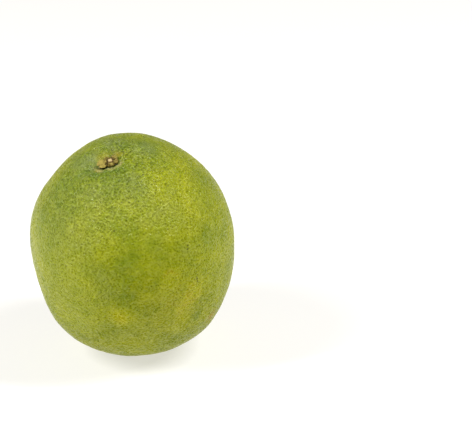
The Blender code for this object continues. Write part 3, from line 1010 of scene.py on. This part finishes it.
class SWEETLIME_OT_calyx(Operator):
    """Dries the five-lobed calyx round the stalk"""

    bl_idname = "sweetlime.calyx"
    bl_label = "Dry the calyx"

    def execute(self, context):
        form = context.scene.fruit_form
        button = context.scene.button_form
        around, along = CALYX_GRID

        # The loop of its blunt section runs from the stalk out to the edge and back
        azimuth = (np.arange(around) * 2 * math.pi / around)[:, None]
        outward, upward = squared((np.arange(along) * 2 * math.pi / along)[None, :])
        reach, lift, longest = sepal_shape(azimuth)
        edge, notch = calyx_edge(azimuth, reach, button)
        hole = button.stalk_radius + button.stalk_clearance
        off_axis = hole + (0.5 + 0.5 * outward) * (edge - hole)
        outer = off_axis / edge

        # Over the rind lies a gap, which widens where a sepal's edge lifts, and then the calyx
        underside = basin_height(off_axis, azimuth, form) + BUTTON_GAP + lift * outer**4
        height = underside + (0.5 + 0.5 * upward) * calyx_depth(off_axis, outer, azimuth, button)
        points = around_axis(off_axis, azimuth, height)

        # From here on, each is one number for each point
        azimuth, upward, longest, notch, outer, off_axis = (
            np.broadcast_to(numbers, off_axis.shape).ravel()
            for numbers in (azimuth, upward, longest, notch, outer, off_axis)
        )

        # Folds raise the top and creases draw it in, less on the smooth sepal
        top = smooth(*CALYX_TOP, upward)
        smoothness = longest * smooth(SEPAL_ROOT, SEPAL_SMOOTH_PAST, off_axis)
        rough = 1 - SMOOTH_SEPAL * smoothness
        folds = 1 - FOLD_SHARPNESS * np.abs(unevenness(points, button.fold_size, 2))
        crinkles = 1 - np.abs(unevenness(points, button.crinkle_size, 2))
        creases = 0.5 + 0.5 * np.sin(CREASES * azimuth + CREASE_WANDER * noise(points, button.fold_size, 1))
        drawn = (CRINKLE_SHARE * crinkles + CREASE_SHARE * creases) * rough
        points[:, 2] += top * (button.fold_height * folds * rough - button.crinkle_depth * drawn)

        # It has painted shade in folds and creases, in the notch and round the stalk, a painted highlight on
        # its crests, and it is fresh on its far side
        faces = grid_quads(around, along, True).tolist()
        material = calyx_material(button)
        piece = new_piece("calyx_dried", settled(points, form), faces, material, "calyx")
        crevice = (DARK_STRENGTH * smooth(0.0, -0.5, folds) + smooth(0.75, 0.98, drawn)) * rough
        crevice += DARK_STRENGTH * (notch * outer**4 + hump(off_axis - hole, STALK_SHADE_WIDTH))
        freshness = smooth(-0.2, 0.8, np.sin(azimuth)) * smooth(FRESH_PAST, FRESH_FULLY_PAST, off_axis)
        keep_values(
            piece,
            smoothness=smoothness,
            freshness=FRESH_STRENGTH * freshness * (1 - smoothness),
            crest=CREST_STRENGTH * smooth(0.35, 0.9, folds) * top * rough,
            crevice=np.clip(crevice, 0, 1) * (0.4 + 0.6 * top),
        )
        return {"FINISHED"}


class SWEETLIME_OT_stalk(Operator):
    """Snaps the stalk off just over the calyx"""

    bl_idname = "sweetlime.stalk"
    bl_label = "Snap the stalk"

    def execute(self, context):
        form = context.scene.fruit_form
        button = context.scene.button_form
        around, rows = STALK_GRID
        seat = float(basin_height(0.0, 0.0, form))
        bottom = seat - form.socket_depth + BUTTON_GAP
        top = seat + BUTTON_GAP + button.calyx_thickness + button.stalk_height

        # Profile from the middle of the bottom, up the side and in to the middle of the top
        cap = np.linspace(STALK_CENTRE, 1.0, rows)
        side = np.linspace(0.0, 1.0, rows)
        share = np.concatenate([cap, np.ones(rows), cap[::-1]])
        rise = np.concatenate([np.zeros(rows), side, np.ones(rows)])
        azimuth = (np.arange(around) * 2 * math.pi / around)[:, None]
        radius = button.stalk_radius * share * (1 - button.stalk_taper * rise**3)
        radius = radius * (1 + STALK_CORNER_SIZE * np.sin(STALK_CORNERS * azimuth) * rise)
        points = around_axis(radius, azimuth, bottom + (top - bottom) * rise)

        # The break is uneven, its fibres standing up and torn out, with the skin left round its edge
        snapped = np.tile(rise**8, around)
        torn = np.clip(FIBRE_SHARPNESS * (noise(points, FIBRE_SIZE, 3) - FIBRES_OVER), -1, 1)
        points[:, 2] += button.stalk_break * snapped * torn
        skin = 1 - snapped * smooth(*SKIN_EDGE, np.tile(share, around))

        # Both ends are closed by a fan to their own middle
        along = len(share)
        middles = points.reshape(around, along, 3)[:, [0, -1]].mean(0)
        first = np.arange(around) * along
        after = np.roll(first, -1)
        low = np.full(around, around * along)
        low_fan = np.stack([low, after, first], -1)
        high_fan = np.stack([first + along - 1, after + along - 1, low + 1], -1)
        faces = grid_quads(around, along, False).tolist() + low_fan.tolist() + high_fan.tolist()
        points = settled(np.concatenate([points, middles]), form)
        piece = new_piece("stalk_snapped", points, faces, stalk_material(button), "stalk_stub")
        keep_values(piece, skin=np.append(skin, [1.0, 0.0]))
        return {"FINISHED"}


def softbox(name, aim, direction, power, stage):
    """A tall area light, at a distance in a direction, turned to the fruit."""
    light = bpy.data.lights.new(name, "AREA")
    light.shape = "RECTANGLE"
    light.size = stage.softbox_width
    light.size_y = stage.softbox_height
    light.energy = power
    lamp = bpy.data.objects.new(name, light)
    bpy.context.scene.collection.objects.link(lamp)
    outward = direction / np.linalg.norm(direction)
    side = np.cross((0.0, 0.0, 1.0), outward)
    side /= np.linalg.norm(side)
    turn = np.stack([side, np.cross(outward, side), outward], -1)
    place = aim + stage.softbox_distance * outward
    lamp.matrix_world = Matrix.Translation(place) @ Matrix(turn.tolist()).to_4x4()


class SWEETLIME_OT_stage(Operator):
    """Sets the floor, the light and the camera"""

    bl_idname = "sweetlime.stage"
    bl_label = "Set the stage"

    def execute(self, context):
        stage = context.scene.studio_stage
        middle = resting_place(context.scene.fruit_form)

        half = stage.floor_size / 2
        corners = [(half * x, half * y, FLOOR_HEIGHT) for x, y in ((-1, -1), (1, -1), (1, 1), (-1, 1))]
        mesh = bpy.data.meshes.new("floor")
        mesh.from_pydata(corners, [], [(0, 1, 2, 3)])
        mesh.materials.append(paper_material(stage))
        floor = bpy.data.objects.new("floor", mesh)
        context.scene.collection.objects.link(floor)

        world = bpy.data.worlds.new("even white light")
        world.use_nodes = True
        sky = {"Color": (1.0, 1.0, 1.0, 1.0), "Strength": stage.sky_strength}
        fill_inputs(world.node_tree, world.node_tree.nodes["Background"], sky)
        context.scene.world = world

        for name, direction, power in (
            ("left_softbox", LEFT_LIGHT, stage.left_power), ("right_softbox", RIGHT_LIGHT, stage.right_power)
        ):
            softbox(name, middle, np.array(direction), power, stage)

        sine, cosine = math.sin(stage.elevation), math.cos(stage.elevation)
        across = np.array((1.0, 0.0, 0.0))
        up = np.array((0.0, sine, cosine))
        back = np.array((0.0, -cosine, sine))
        lens = bpy.data.cameras.new("camera")
        lens.lens = stage.lens
        lens.sensor_width = stage.sensor
        lens.sensor_fit = "HORIZONTAL"
        camera = bpy.data.objects.new("camera", lens)
        context.scene.collection.objects.link(camera)
        place = middle + stage.aside * across + stage.above * up + stage.distance * back
        turn = Matrix(np.stack([across, up, back], -1).tolist()).to_4x4()
        camera.matrix_world = Matrix.Translation(place) @ turn
        context.scene.camera = camera
        context.scene.view_settings.view_transform = "Standard"
        return {"FINISHED"}


class SWEETLIME_PT_panel(Panel):
    """Lists the pieces and their settings"""

    bl_label = "Sweet Lime"
    bl_idname = "SWEETLIME_PT_panel"
    bl_space_type = "VIEW_3D"
    bl_region_type = "UI"
    bl_category = "Sweet Lime"

    def draw(self, context):
        for operator in STEPS:
            self.layout.operator(operator.bl_idname)
        for name in SETTINGS:
            box = self.layout.box()
            settings = getattr(context.scene, name)
            for entry in settings.bl_rna.properties:
                if entry.identifier not in {"rna_type", "name"}:
                    box.prop(settings, entry.identifier)


SETTINGS = {
    "fruit_form": FruitForm,
    "rind_finish": RindFinish,
    "button_form": ButtonForm,
    "studio_stage": StudioStage,
}
STEPS = (SWEETLIME_OT_stage, SWEETLIME_OT_rind, SWEETLIME_OT_calyx, SWEETLIME_OT_stalk)


def register():
    for kind in (*SETTINGS.values(), *STEPS, SWEETLIME_PT_panel):
        bpy.utils.register_class(kind)
    for name, kind in SETTINGS.items():
        setattr(bpy.types.Scene, name, PointerProperty(type=kind))


def unregister():
    for name in SETTINGS:
        delattr(bpy.types.Scene, name)
    for kind in reversed((*SETTINGS.values(), *STEPS, SWEETLIME_PT_panel)):
        bpy.utils.unregister_class(kind)


def main():
    """Registers the classes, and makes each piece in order."""
    register()
    bpy.ops.sweetlime.stage()
    bpy.ops.sweetlime.rind()
    bpy.ops.sweetlime.calyx()
    bpy.ops.sweetlime.stalk()


if __name__ == "__main__":
    main()
